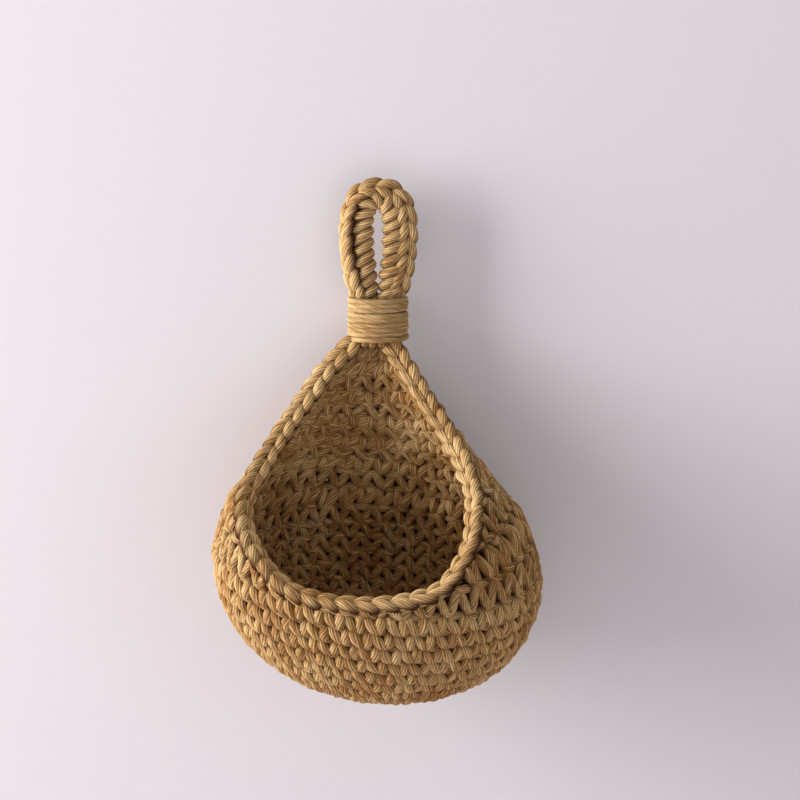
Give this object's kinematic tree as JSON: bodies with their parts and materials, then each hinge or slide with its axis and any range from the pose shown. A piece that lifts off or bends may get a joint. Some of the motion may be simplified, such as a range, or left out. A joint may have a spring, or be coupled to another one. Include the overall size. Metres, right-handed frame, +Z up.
{
  "type": "hanging fruit basket",
  "caption": "Teardrop-shaped crocheted cord basket with an open front, a deep round bowl for fruit, a bound neck and a hanging loop.",
  "frame": {"origin": "where the hook touches the inner top of the hanging loop's eye", "axes": "+Z up as it hangs, +Y towards the wall, +X to the right of someone facing the open front"},
  "size_m": [0.1695, 0.1149, 0.269],
  "materials": {
    "crochet_cord": "matt twisted cotton cord in single crochet",
    "edging_cord": "matt twisted cotton cord in a chain edge",
    "binding_cord": "matt twisted cotton cord, tightly wound",
    "loop_cord": "matt twisted cotton cord in single crochet"
  },
  "bodies": {
    "root": {"base_disc": "crochet_cord", "bowl_wall": "crochet_cord", "back_panel": "crochet_cord", "rim_edging": "edging_cord", "neck_gather": "crochet_cord", "neck_binding": "binding_cord", "hanging_loop": "loop_cord"}
  },
  "joints": []
}
